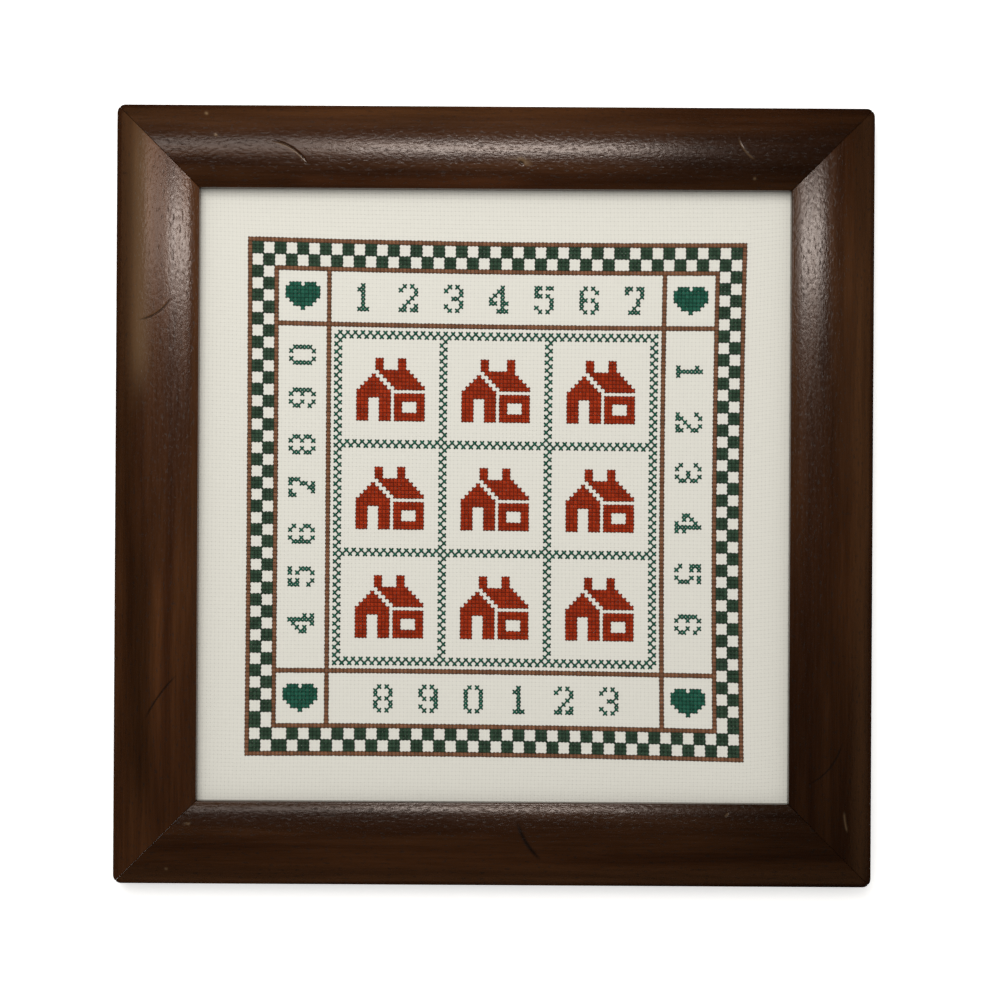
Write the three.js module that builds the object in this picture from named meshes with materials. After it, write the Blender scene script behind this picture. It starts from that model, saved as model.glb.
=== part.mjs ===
// Framed cross stitch sampler: four mitred lengths of domed wooden moulding round a stretched
// cloth, which a board behind it holds up to the lip of the frame.
// Millimetres, +Z up. The frame lies on its back: the picture faces +Z, and its top edge is
// towards +Y. The origin is the middle of the back, on the surface that it lies on.

import * as THREE from 'three';

// Frame
const FRAME_WIDTH = 360;
const FRAME_HEIGHT = 370;
const FRAME_DEPTH = 19;
const MITRE_GAP = 0.3;
const CORNER_RADIUS = 4;
const CORNER_STEPS = 4;

// Section of the moulding, measured inwards from the outer edge and up from the back
const MOULDING_WIDTH = 39.4;
const SIDE_HEIGHT = 12;
const BACK_EASE = 0.8;
const CROWN_FROM_EDGE = 17;
const DOME_RADIUS = 56;
const BAND_WIDTH = 4.6;
const BAND_FALL = 1.8;
const LIP_EASE = 0.5;
const RABBET_WIDTH = 6;
const RABBET_DEPTH = 9;
const ARC_STEPS = 16;

// What lies in the rabbet
const SEAT_GAP = 0.3;
const EDGE_GAP = 0.4;
const CLOTH_THICKNESS = 1;
const BOARD_THICKNESS = 3;

// Finishes
const WALNUT = { color: 0x4a2f20, roughness: 0.42, metalness: 0 };
const AIDA = { color: 0xe6dfcd, roughness: 0.9, metalness: 0 };
const BOARD = { color: 0x9a7a55, roughness: 0.85, metalness: 0 };

// Part of an ellipse about a centre, from one angle to another, as points of the section
function arcPoints(centreX, centreY, radiusX, radiusY, fromAngle, toAngle) {
  const points = [];
  for (let step = 0; step <= ARC_STEPS; step += 1) {
    const angle = THREE.MathUtils.lerp(fromAngle, toAngle, step / ARC_STEPS);
    const x = centreX + radiusX * Math.cos(angle);
    const y = centreY + radiusY * Math.sin(angle);
    points.push(new THREE.Vector2(x, y));
  }
  return points;
}

// The moulding's section: a flat back and side, a round shoulder, a shallow dome with its crown
// nearer the outer edge, a steeper band along the sight edge, and the rabbet under it
function mouldingSection() {
  const crown = Math.PI / 2;
  const bandStart = MOULDING_WIDTH - BAND_WIDTH;
  const rabbetStart = MOULDING_WIDTH - RABBET_WIDTH;
  const shoulder = arcPoints(
    CROWN_FROM_EDGE, SIDE_HEIGHT, CROWN_FROM_EDGE, FRAME_DEPTH - SIDE_HEIGHT, Math.PI, crown,
  );
  const domeEnd = Math.acos((bandStart - CROWN_FROM_EDGE) / DOME_RADIUS);
  const domeCentre = FRAME_DEPTH - DOME_RADIUS;
  const dome = arcPoints(CROWN_FROM_EDGE, domeCentre, DOME_RADIUS, DOME_RADIUS, crown, domeEnd);
  const bandEnd = dome.at(-1).y - BAND_FALL;
  return new THREE.Shape([
    new THREE.Vector2(0, BACK_EASE),
    ...shoulder,
    ...dome.slice(1),
    new THREE.Vector2(MOULDING_WIDTH - LIP_EASE, bandEnd),
    new THREE.Vector2(MOULDING_WIDTH, bandEnd - LIP_EASE),
    new THREE.Vector2(MOULDING_WIDTH, RABBET_DEPTH),
    new THREE.Vector2(rabbetStart, RABBET_DEPTH),
    new THREE.Vector2(rabbetStart, 0),
    new THREE.Vector2(BACK_EASE, 0),
  ]);
}

// One length of moulding along X with its outer edge on the line y = 0 and its inner edge
// towards -y. Both ends are cut at 45 degrees, half a mitre gap short of the corner, and the
// rings next to each end follow the round of the frame's outer corner.
function mitredRail(name, outerLength) {
  const ringGaps = 2 * CORNER_STEPS + 1;
  const geometry = new THREE.ExtrudeGeometry(
    mouldingSection(), { depth: 1, steps: ringGaps, bevelEnabled: false },
  );
  const endSetBack = MITRE_GAP * Math.SQRT1_2;
  const position = geometry.getAttribute('position');
  for (let index = 0; index < position.count; index += 1) {
    const ring = Math.round(position.getZ(index) * ringGaps);
    const side = ring > CORNER_STEPS ? -1 : 1;
    const fromEnd = Math.min(ring, ringGaps - ring);
    const turn = THREE.MathUtils.lerp(Math.PI / 4, Math.PI / 2, fromEnd / CORNER_STEPS);
    const cutBack = CORNER_RADIUS * (1 - Math.sin(turn));
    const awayFromMitre = CORNER_RADIUS * (Math.sin(turn) - Math.cos(turn));
    const outerShare = Math.max(0, 1 - position.getX(index) / CORNER_RADIUS);
    const inward = position.getX(index) + cutBack * outerShare;
    const along = side * (outerLength / 2 - inward - awayFromMitre - endSetBack);
    position.setXYZ(index, along, -inward, position.getY(index));
  }
  geometry.computeVertexNormals();
  const rail = new THREE.Mesh(geometry, new THREE.MeshStandardMaterial(WALNUT));
  rail.name = name;
  return rail;
}

// A flat panel that fills the rabbet with a little clearance all round
function rabbetPanel(name, thickness, topHeight, finish) {
  const wallInset = 2 * (MOULDING_WIDTH - RABBET_WIDTH + EDGE_GAP);
  const geometry = new THREE.BoxGeometry(FRAME_WIDTH - wallInset, FRAME_HEIGHT - wallInset, thickness);
  const panel = new THREE.Mesh(geometry, new THREE.MeshStandardMaterial(finish));
  panel.name = name;
  panel.position.z = topHeight - thickness / 2;
  return panel;
}

const railTop = mitredRail('rail_top', FRAME_WIDTH);
railTop.position.y = FRAME_HEIGHT / 2;

const railBottom = mitredRail('rail_bottom', FRAME_WIDTH);
railBottom.position.y = -FRAME_HEIGHT / 2;
railBottom.rotation.z = Math.PI;

const stileLeft = mitredRail('stile_left', FRAME_HEIGHT);
stileLeft.position.x = -FRAME_WIDTH / 2;
stileLeft.rotation.z = Math.PI / 2;

const stileRight = mitredRail('stile_right', FRAME_HEIGHT);
stileRight.position.x = FRAME_WIDTH / 2;
stileRight.rotation.z = -Math.PI / 2;

const clothTop = RABBET_DEPTH - SEAT_GAP;
const boardTop = clothTop - CLOTH_THICKNESS - SEAT_GAP;
const cloth = rabbetPanel('cloth', CLOTH_THICKNESS, clothTop, AIDA);
const backingBoard = rabbetPanel('backing_board', BOARD_THICKNESS, boardTop, BOARD);

const sampler = new THREE.Group();
sampler.add(railTop, railBottom, stileLeft, stileRight, cloth, backingBoard);

export default sampler;
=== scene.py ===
"""Framed cross stitch sampler: the looks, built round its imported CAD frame.

Laid out as a Blender add-on and run as a script. Lengths are metres. The frame lies on its
back: the picture faces +Z, its top edge is towards +Y and its right edge towards +X.

The chart counts stitches from the outer edge of its outline: columns from the left, rows from
the top. Its letters are replaced by plain numerals of the same size.
"""

import math
from collections import namedtuple

import bmesh
import bpy
import numpy as np
from bpy.props import FloatProperty, FloatVectorProperty, IntProperty, PointerProperty
from bpy.types import Operator, Panel, PropertyGroup
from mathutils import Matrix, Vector


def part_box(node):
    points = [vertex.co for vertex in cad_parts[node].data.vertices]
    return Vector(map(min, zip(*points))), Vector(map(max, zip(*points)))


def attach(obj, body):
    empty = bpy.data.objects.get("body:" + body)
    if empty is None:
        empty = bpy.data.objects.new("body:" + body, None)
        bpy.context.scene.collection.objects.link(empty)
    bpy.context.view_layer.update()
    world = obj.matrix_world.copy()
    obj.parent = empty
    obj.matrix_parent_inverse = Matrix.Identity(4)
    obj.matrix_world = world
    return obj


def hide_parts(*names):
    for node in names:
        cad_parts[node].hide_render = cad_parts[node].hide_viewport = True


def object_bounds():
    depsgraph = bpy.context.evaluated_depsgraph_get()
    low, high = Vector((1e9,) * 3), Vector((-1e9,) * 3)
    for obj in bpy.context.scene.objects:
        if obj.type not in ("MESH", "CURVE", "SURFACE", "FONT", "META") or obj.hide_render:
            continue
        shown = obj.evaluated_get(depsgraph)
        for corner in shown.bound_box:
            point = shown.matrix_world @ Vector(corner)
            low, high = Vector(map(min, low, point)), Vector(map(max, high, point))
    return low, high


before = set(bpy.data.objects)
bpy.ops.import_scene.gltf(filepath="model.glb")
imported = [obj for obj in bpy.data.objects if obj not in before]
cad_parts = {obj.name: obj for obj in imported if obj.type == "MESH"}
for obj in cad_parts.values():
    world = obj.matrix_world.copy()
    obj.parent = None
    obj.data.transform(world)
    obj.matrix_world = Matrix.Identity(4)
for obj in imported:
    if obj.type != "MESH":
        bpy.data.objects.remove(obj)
CAD_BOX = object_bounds()

bl_info = {
    "name": "Framed Cross Stitch Sampler",
    "version": (1, 0, 0),
    "blender": (4, 5, 0),
    "location": "3D View > Sidebar > Sampler",
    "description": "Dresses the packed frame: moulding, cloth, crosses of floss and board",
    "category": "Object",
}

MM = 0.001

# Sizes that come from the frame
OUTER_LOW, OUTER_HIGH = CAD_BOX
FRAME_WIDTH = OUTER_HIGH.x - OUTER_LOW.x
FRAME_HEIGHT = OUTER_HIGH.y - OUTER_LOW.y
FRAME_DEPTH = OUTER_HIGH.z - OUTER_LOW.z
CLOTH_LOW, CLOTH_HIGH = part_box("cloth")
CLOTH_HALF_WIDTH = CLOTH_HIGH.x
CLOTH_HALF_HEIGHT = CLOTH_HIGH.y
MOULDING_WIDTH = FRAME_HEIGHT / 2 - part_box("rail_top")[0].y

# Section of the moulding, inwards from the outer edge and up from the back, as in the CAD
SIDE_HEIGHT = 12 * MM
BACK_EASE = 0.8 * MM
CROWN_FROM_EDGE = 17 * MM
DOME_RADIUS = 56 * MM
BAND_WIDTH = 4.6 * MM
BAND_FALL = 1.8 * MM
BAND_BULGE = 0.08 * MM
LIP_EASE = 0.5 * MM
RABBET_WIDTH = 6 * MM
RABBET_DEPTH = 9 * MM
CORNER_RADIUS = 4 * MM
CORNER_STEPS = 8
MITRE_GAP = 0.02 * MM
MITRE_EASE = 0.22 * MM
# Painted shade along the mitres, where the rails meet: how dark their end rings are painted
MITRE_SHADE = 0.8

# How finely the moulding's surface is divided
SECTION_STEP = 0.4 * MM
RING_STEP = 7 * MM
FIRST_RING = 14 * MM
MARK_STEP = 0.3 * MM
MARK_MARGIN = 2 * MM
LEAN_LENGTH = 60 * MM

# Chart, in stitches
CHART = 132
CHECK = 3
CHECK_ROWS = 2
CHECKS_A_SIDE = 43
WIDE_CHECKS = {"top": 32, "bottom": 2, "left": 40, "right": 40}
INNER_LINE = 1 + CHECK * CHECK_ROWS
DIVIDING_LINE = 21
LATTICE_START = 23
LATTICE_WIDTH = 2
CELL_PITCH = 28
CELLS = 3

HEART = (
    ".###.###.",
    "#########",
    "#########",
    "#########",
    ".#######.",
    "..#####..",
    "....#....",
)
HEART_PLACE = (10, 11)

NUMERALS = {
    0: (".#.#.", "#...#", "#...#", "#...#", "#...#", "#...#", ".#.#."),
    1: ("..#..", ".##..", "..#..", "..#..", "..#..", "..#..", ".###."),
    2: (".#.#.", "#...#", "....#", "...#.", "..#..", ".#..#", "##.##"),
    3: (".#.#.", "#...#", "....#", "..##.", "....#", "#...#", ".#.#."),
    4: ("...#.", "..##.", ".#.#.", "#..#.", "##.##", "...#.", "..###"),
    5: ("##.##", "#....", "##.#.", "....#", "....#", "#...#", ".#.#."),
    6: (".#.#.", "#...#", "#....", "##.#.", "#...#", "#...#", ".#.#."),
    7: ("##.##", "#...#", "....#", "...#.", "...#.", "..#..", ".###."),
    8: (".#.#.", "#...#", "#...#", ".#.#.", "#...#", "#...#", ".#.#."),
    9: (".#.#.", "#...#", "#...#", ".#.##", "....#", "#...#", ".#.#."),
}
NUMERAL_WIDTH = 5
NUMERAL_HEIGHT = 7
NUMERALS_NEAR = 11
NUMERALS_FAR = CHART - NUMERALS_NEAR - NUMERAL_HEIGHT
NumeralRow = namedtuple("NumeralRow", "side digits start pitch")
NUMERAL_ROWS = (
    NumeralRow("top", (1, 2, 3, 4, 5, 6, 7), 28, 12),
    NumeralRow("bottom", (8, 9, 0, 1, 2, 3), 34, 12),
    NumeralRow("left", (0, 9, 8, 7, 6, 5, 4), 27.3, 11.5),
    NumeralRow("right", (1, 2, 3, 4, 5, 6), 30.5, 13),
)

HOUSE_PLACE = (4, 5)
CHIMNEYS = ((5, 7), (11, 13))
ODD_CHIMNEYS = ((5, 7), (12, 14))
ODD_CELL = (1, 0)
CHIMNEY_ROWS = 3
ROOF_EAVES = 8
ROOF_WIDTH = 8
GABLE_PEAK = (4, 4)
WALL_FOOT = 16
DOOR = (3, 6, 10, 16)
SIDE_WALL = (10, 18)
WINDOW = (12, 16, 11, 14)

# Where the stretched cloth carries the chart: half sizes, then how far it is off true
CHART_HALF_WIDTH = 118.88 * MM
CHART_HALF_HEIGHT = 123.66 * MM
CHART_SHIFT = (0.89 * MM, -1.67 * MM)
CHART_LEAN = 0.18 * MM
CHART_SLOPE = -0.92 * MM
LEFT_BOW = 0.32 * MM
RIGHT_BOW = -1.28 * MM
TOP_BOW = -1.08 * MM
BOTTOM_BOW = 0.93 * MM
MIDDLE_SLACK = -1.04 * MM
NARROWEST_BLOCK = 0.1

# One cross: two arms of two strands, in shares of a block across and of the floss's height up
ARM_HALF_LENGTH = 0.78
FULL_HALF_WIDTH = 0.345
SLIM_HALF_WIDTH = 0.255
ARM_STATIONS = (-1.0, -0.56, 0.0, 0.56, 1.0)
UNDER_ARM_CRESTS = (0.0, 0.85, 0.75, 0.85, 0.0)
OVER_ARM_CRESTS = (0.0, 0.95, 1.5, 0.95, 0.0)
ARM_END_NARROWING = 0.68
ARM_END_SHARPNESS = 3
ARM_SOLE = -0.35
STRAND_PROFILE = ((-1.0, 0.15), (-0.52, 1.0), (0.0, 0.72), (0.52, 1.0), (1.0, 0.15))

# Marks in the varnish and wood, in millimetres: where each runs on its length of moulding, as
# along and inwards, how far it bows, half its width and its depth. Then, as shares, how dark its
# groove is painted, how far the wood beside it is painted lighter, and how far to one side that
# lighter strip lies. The lighter strip is partly worn stain and partly a painted highlight on the
# mark's lit edge.
Mark = namedtuple("Mark", "rail start end bow half_width depth grime worn worn_offset")
MARKS = (
    Mark("rail_top", (-106.2, 17.6), (-88.8, 28.6), -2.4, 0.26, 0.3, 0.95, 0.24, 1.7),
    Mark("rail_top", (11.6, 27.3), (12.5, 27.8), 0, 0.75, 0.4, 0.85, 0.35, -1.1),
    Mark("rail_top", (114.2, 14.7), (123.4, 26), 1.6, 0.28, 0.08, 0, 0.2, 0),
    Mark("rail_top", (-137.2, 4.7), (-136.9, 4.9), 0, 0.45, 0.06, 0, 0.5, 0),
    Mark("rail_top", (-132.5, 15.2), (-132.1, 15.4), 0, 0.4, 0.06, 0, 0.45, 0),
    Mark("rail_top", (122.4, 34.1), (122.6, 34.1), 0, 0.4, 0.06, 0, 0.3, 0),
    Mark("stile_left", (81.9, 11.1), (92.5, 27), 2.2, 0.34, 0.25, 0.9, 0.14, -1.2),
    Mark("stile_left", (-106.9, 15.7), (-85.5, 30.7), -1.2, 0.42, 0.16, 0.95, 0, 0),
    Mark("rail_bottom", (-11.8, 31.2), (-23.4, 13), 1.6, 0.85, 0.12, 1, 0, 0),
    Mark("rail_bottom", (-109.9, 33.7), (-112.2, 35.6), 0, 0.3, 0.08, 0, 0.2, 0),
    Mark("rail_bottom", (143.4, 29.3), (143.8, 29.4), 0, 0.45, 0.06, 0, 0.25, 0),
    Mark("rail_bottom", (153.7, 7.8), (154.1, 7.9), 0, 0.4, 0.06, 0, 0.2, 0),
    Mark("stile_right", (147.6, 13.8), (158.6, 12), 0.4, 0.3, 0.08, 0, 0.2, 0),
    Mark("stile_right", (136.2, 31.2), (115.2, 14.7), 3, 0.4, 0.12, 0.85, 0, 0),
)
# How finely a mark is drawn, how quickly a long one fades at its ends, and how far up the
# moulding's surface has to face to take one
MARK_POINTS = 14
MARK_END_FADE = 6
LEAST_UPWARD_NORMAL = 0.3
# In half widths of a mark: how far it reaches, how long it is before its ends fade, and how far
# off and how wide the lighter strip beside it is: partly worn stain, partly painted highlight
MARK_REACH = 6
LONG_MARK = 4
LIGHTER_OFFSET = 1.7
LIGHTER_WIDTH = 1.4

# Each length of moulding: the middle of its outer edge, the way along it and the way inwards,
# its length, and how light its wood is painted at its start, middle and end: near its outer edge,
# then near its sight edge. That lightness is partly the wood's own tone and partly painted light
# and shade, lighter towards the top left and darker towards the bottom right, as the light falls.
Rail = namedtuple("Rail", "middle along inward length outer_tones inner_tones")
RAILS = {
    "rail_top": Rail(
        (0, FRAME_HEIGHT / 2), (1, 0), (0, -1), FRAME_WIDTH, (1.5, 2.3, 1.0), (1.3, 1.85, 0.65)
    ),
    "rail_bottom": Rail(
        (0, -FRAME_HEIGHT / 2), (-1, 0), (0, 1), FRAME_WIDTH, (0.8, 1.33, 1.2), (0.5, 1.33, 1.2)
    ),
    "stile_left": Rail(
        (-FRAME_WIDTH / 2, 0), (0, 1), (1, 0), FRAME_HEIGHT, (1.9, 1.25, 1.75), (1.8, 1.9, 3.1)
    ),
    "stile_right": Rail(
        (FRAME_WIDTH / 2, 0), (0, -1), (-1, 0), FRAME_HEIGHT, (1.4, 1.7, 0.85), (1.5, 1.35, 0.6)
    ),
}
# The shares of a moulding's width between which its outer tones and painted light give way to
# its inner ones, and how far apart the lengths of moulding lie in the pattern of the grain
OUTER_TONE_AND_LIGHT_TO = 0.18
INNER_TONE_AND_LIGHT_FROM = 0.42
BOARD_LENGTH = 1.0

# Streaks that took more or less stain, in millimetres: from where to where along a length of
# moulding, how far inwards and half how wide. Then how many times as light the wood is there, and
# how far the stain has worn.
Streak = namedtuple("Streak", "rail first last inward half_width gain bare")
STREAKS = (
    Streak("rail_top", -85, 5, 36.5, 2.5, 1.7, 0),
    Streak("rail_top", 95, 150, 28, 4.5, 0.8, 0),
    Streak("stile_left", 70, 160, 12.5, 4.5, 1.35, 0.23),
    Streak("stile_left", -120, -45, 13, 6.5, 0.45, 0),
    Streak("stile_left", -125, -50, 22, 2.4, 1.35, 0),
    Streak("stile_right", -110, -30, 12, 6, 1.4, 0.02),
)
# How far a streak fades beyond its ends, in half widths
STREAK_FADE = 4

# Camera, worked out from the photograph's outlines
CAMERA_HEIGHT = 1.012
CAMERA_SIDE = (2.88 * MM, -1.93 * MM)
CAMERA_ROLL = math.radians(0.34)
FOCAL_LENGTH = 75.74
SENSOR_WIDTH = 36

# Floor
FLOOR_CORNERS = ((-2, -2, 0), (2, -2, 0), (2, 2, 0), (-2, 2, 0))
FLOOR_FINISH = {
    "Base Color": (0.95, 0.95, 0.95),
    "Roughness": 0.9,
    "Specular IOR Level": 0.1,
    "Emission Color": (1, 1, 1),
}

# Lights: where each stands and faces, its size, the setting that gives its power and its share
# of that, its colour, and whether it is only mirrored in the object or only lights it
FILL_COLOUR = (1, 0.98, 0.95)
DAYLIGHT_COLOUR = (1, 0.985, 0.95)
LAMP_COLOUR = (1, 0.88, 0.8)
ROOM_COLOUR = (1, 0.62, 0.3)
Light = namedtuple("Light", "name place aim size setting share colour only_mirrored")
LIGHTS = (
    Light("daylight", (-0.2, 0.55, 1.0), (0, 0, 0), (0.9, 0.9), "daylight", 1, DAYLIGHT_COLOUR, False),
    Light("lamp", (0.002, 0.173, 0.42), (0.002, 0.173, 0), (0.19, 0.048), "lamp", 1, LAMP_COLOUR, True),
    Light("window", (-0.2, 0.197, 0.5), (-0.2, 0.197, 0), (0.2, 0.09), "window", 1, LAMP_COLOUR, True),
    Light("left_wall", (-1.1, 0.6, 0.75), (0, 0.6, 0), (0.9, 1.0), "room", 0.6, ROOM_COLOUR, True),
    Light("top_wall", (-0.5, 1.15, 0.75), (-0.5, 0, 0), (1.3, 1.2), "room", 0.55, ROOM_COLOUR, True),
    Light("right_wall", (1.2, 0.1, 0.75), (0, 0.1, 0), (1.2, 1.2), "room", 0.4, ROOM_COLOUR, True),
    Light("bottom_wall", (-0.1, -1.1, 0.6), (-0.1, 0, 0), (1.5, 1.0), "room", 0.25, ROOM_COLOUR, True),
)

# Noise in the finishes: its repeats, per metre on the wood and board, per block on the cloth and
# per strand on the floss, then where it starts and how fine and uneven it is
GRAIN_DEFAULTS = ((0, 0, 0), 2, 0.5, 0)
Grain = namedtuple("Grain", "repeats place detail roughness distortion", defaults=GRAIN_DEFAULTS)
WOOD_STREAKS = Grain((5, 110, 1), distortion=0.25)
WOOD_FIBRES = Grain((55, 1100, 1), detail=3, roughness=0.6)
WOOD_PORES = Grain((340, 900, 1))
WOOD_PATCHES = Grain((9, 30, 1), (3, 1, 0))
WOOD_PITTING = Grain((420, 800, 1), (2, 5, 0), 1)
WOOD_WAVES = Grain((24, 90, 1), detail=1)
CLOTH_SLUBS_ACROSS = Grain((0.35, 6, 1))
CLOTH_SLUBS_DOWN = Grain((6, 0.35, 1), (5, 2, 0))
FLOSS_FIBRES = Grain((3, 26, 1))
BOARD_FIBRES = Grain((420, 1500, 60), detail=3, roughness=0.6, distortion=0.8)
BOARD_FLECKS = Grain((900, 700, 60), (1, 2, 0))
BOARD_MOTTLE = Grain((22, 22, 22), detail=3)

# How patterns turn into finishes. Ranges, edges, shades and shares give the part of a pattern
# that counts, then what its two ends come to. Bumps give how deep a pattern goes, and how much of
# that shows.
PORE_RANGE = (0.55, 0.72)
STREAK_RANGE = (0.3, 0.8)
STREAK_SHARE = 0.65
FIBRE_SHADES = (0.25, 0.75, 0.84, 1.14)
PATCH_SHADES = (0.3, 0.7, 0.86, 1.14)
PORE_SHADES = (0, 1, 1.0, 0.68)
# Darkened grooves of the marks and painted shade along the mitres: how far they go towards this colour
DARKENING_SHARE = 0.85
DARKENING_COLOUR = (0.004, 0.002, 0.0015)
FIBRE_ROUGHNESS = 0.12
PORE_ROUGHNESS = 0.2
PITTING_RANGE = (0.3, 0.8)
PITTING_ROUGHNESS = 0.07
# How much rougher the darkened grooves and the painted shade at the mitres are
DARKENING_ROUGHNESS = 0.1
VARNISH_SPECULAR = 0.5
WAVE_BUMP = (0.1 * MM, 0.25)
PITTING_BUMP = (0.075 * MM, 0.9)
PORE_BUMP = (0.04 * MM, 0.6)

THREADS_A_BLOCK = 4
HOLE_EDGE = (0.06, 0.17, 1.0, 0.0)
SEAM_EDGE = (0.0, 0.14, 1.0, 0.0)
SLUB_SHADES = (0.35, 0.65, 0.975, 1.015)
# Painted shade between the threads, in the seams between blocks and in the holes at their corners
THREAD_PAINTED_SHADES = (0, 0.8, 0.95, 1.0)
SEAM_PAINTED_SHADES = (0, 1, 1.0, 0.955)
HOLE_PAINTED_SHADES = (0, 1, 1.0, 0.87)
CLOTH_ROUGHNESS = (0.3, 0.7, 0.82, 0.95)
CLOTH_FINISH = {"Specular IOR Level": 0.2, "Sheen Weight": 0.08, "Sheen Roughness": 0.5}
THREAD_BUMP = (0.07 * MM, 0.5)
HOLE_BUMP = (0.15 * MM, 0.6)

PLIES_ALONG = 5
PLIES_ACROSS = 3
CROSS_SHADES = (0, 1, 0.84, 1.16)
# Painted shade between the plies, with a painted highlight on their crests
PLY_PAINTED_SHADES = (0, 1, 0.82, 1.06)
FLOSS_SHADES = (0.3, 0.7, 0.9, 1.1)
# Painted shade at the ends of the arms, where they go down into the holes, and along their sides
END_PAINTED_SHADES = (0.35, 0.9, 1.0, 0.3)
SIDE_PAINTED_SHADES = (0.35, 0.95, 1.0, 0.5)
FLOSS_FINISH = {
    "Roughness": 0.7,
    "Specular IOR Level": 0.12,
    "Sheen Weight": 0.03,
    "Sheen Roughness": 0.4,
}
PLY_BUMP = (0.06 * MM, 0.6)

BOARD_LIGHT = (0.33, 0.21, 0.115)
BOARD_DARK = (0.2, 0.12, 0.062)
MOTTLE_COLOUR = (0.36, 0.24, 0.14)
FLECK_COLOUR = (0.09, 0.05, 0.025)
BOARD_FIBRE_RANGE = (0.35, 0.65)
MOTTLE_SHARES = (0.35, 0.7, 0, 0.35)
FLECK_SHARES = (0.66, 0.74, 0, 0.7)
BOARD_ROUGHNESS = (0.3, 0.7, 0.8, 0.92)
BOARD_BUMP = (0.12 * MM, 0.6)

# Edges between faces at a steeper angle than this stay sharp
MOULDING_SHARP_ANGLE = math.radians(32)
CLOTH_SHARP_ANGLE = math.radians(60)


def colour_setting(name, description, default):
    """A colour that a user may change."""
    return FloatVectorProperty(
        name=name, description=description, subtype="COLOR", size=3, min=0, max=1, default=default
    )


def share_setting(name, description, default, least=0, most=1):
    """A share that a user may change."""
    return FloatProperty(
        name=name, description=description, subtype="FACTOR", min=least, max=most, default=default
    )


def length_setting(name, description, default, least, most):
    """A length that a user may change."""
    return FloatProperty(
        name=name, description=description, subtype="DISTANCE", unit="LENGTH",
        min=least, max=most, default=default,
    )


def strength_setting(name, description, default):
    """The strength of a glow that a user may change."""
    return FloatProperty(name=name, description=description, min=0, default=default)


def power_setting(name, description, default):
    """The power of a light that a user may change."""
    return FloatProperty(
        name=name, description=description, subtype="POWER", unit="POWER", min=0, default=default
    )


class SamplerFrameSettings(PropertyGroup):
    """What a user would change about the wooden moulding."""

    stain: colour_setting(
        "Stain", "Colour of the stained wood between its streaks", (0.0165, 0.0052, 0.0016)
    )
    stain_light: colour_setting(
        "Light streaks", "Colour of the streaks that took less stain", (0.043, 0.0155, 0.0045)
    )
    # Also the colour of the painted highlight beside the marks
    bare_wood: colour_setting(
        "Bare wood", "Colour where a knock has gone through the stain", (0.28, 0.185, 0.095)
    )
    varnish_roughness: share_setting(
        "Varnish roughness", "How much the satin varnish blurs what it mirrors", 0.185, 0.05
    )
    mark_strength: share_setting(
        "Marks", "Depth of the knocks and cracks, as a share of their own depth", 1, most=2
    )


class SamplerClothSettings(PropertyGroup):
    """What a user would change about the aida cloth."""

    cotton: colour_setting("Cotton", "Colour of the cloth", (0.74, 0.73, 0.67))
    relief: length_setting(
        "Relief", "How far a block's middle stands above the holes at its corners",
        0.14 * MM, 0, 0.6 * MM,
    )


class SamplerFlossSettings(PropertyGroup):
    """What a user would change about the crosses."""

    rust: colour_setting("Rust floss", "Floss of the outlines", (0.235, 0.106, 0.056))
    green: colour_setting(
        "Green floss", "Floss of the lattice, hearts and numerals", (0.0195, 0.118, 0.077)
    )
    check_green: colour_setting(
        "Green floss of the checks", "Floss of the checks, from a duller skein",
        (0.038, 0.076, 0.047),
    )
    brick: colour_setting("Brick floss", "Floss of the houses", (0.365, 0.0325, 0.0065))
    height: length_setting(
        "Height", "How far one arm of a cross stands above the cloth", 0.36 * MM, 0.1 * MM, 1 * MM
    )
    unevenness: share_setting(
        "Unevenness", "How much crosses differ in size, as a share", 0.07, most=0.3
    )
    turn: FloatProperty(
        name="Turn", description="How far a cross may be turned from true", subtype="ANGLE",
        unit="ROTATION", min=0, max=math.radians(10), default=math.radians(2.5),
    )
    seed: IntProperty(
        name="Seed", description="Start of the random differences between crosses", min=0, default=7
    )


class SamplerStageSettings(PropertyGroup):
    """What a user would change about the floor and lights."""

    daylight: power_setting(
        "Daylight", "Power of the large soft light above the picture's top left", 10.2
    )
    fill: strength_setting("Fill", "Strength of the even light from all round", 0.48)
    floor_glow: strength_setting(
        "Floor glow", "How much the pale floor shines, which lightens the shadows on it", 0.45
    )
    lamp: power_setting("Lamp", "Power of the lamp that the varnish mirrors above the top", 0.46)
    window: power_setting(
        "Window", "Power of the dimmer lamp that the varnish mirrors on the left", 0.2
    )
    room: power_setting("Room", "Power of the broad faint lights mirrored from the walls", 1.9)


def set_inputs(tree, node, inputs):
    """Links a node's inputs to other nodes' outputs, or sets them to plain values."""
    for name, value in inputs.items():
        socket = node.inputs[name]
        if isinstance(value, bpy.types.NodeSocket):
            tree.links.new(value, socket)
        elif socket.type == "RGBA":
            socket.default_value = (*value[:3], 1)
        else:
            socket.default_value = value


def new_node(tree, kind, inputs=None, **settings):
    """Adds a node to a tree, with its settings and its inputs."""
    node = tree.nodes.new(kind)
    for name, value in settings.items():
        setattr(node, name, value)
    set_inputs(tree, node, inputs or {})
    return node


def vector(tree, x=0.0, y=0.0, z=0.0):
    """Three numbers as one output."""
    return new_node(tree, "ShaderNodeCombineXYZ", {0: x, 1: y, 2: z}).outputs[0]


def maths(tree, operation, first, second=0.0, third=0.0, clamp=False):
    """One sum on a tree's values, as the output that holds its result."""
    inputs = {0: first, 1: second, 2: third}
    node = new_node(tree, "ShaderNodeMath", inputs, operation=operation, use_clamp=clamp)
    return node.outputs[0]


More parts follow.
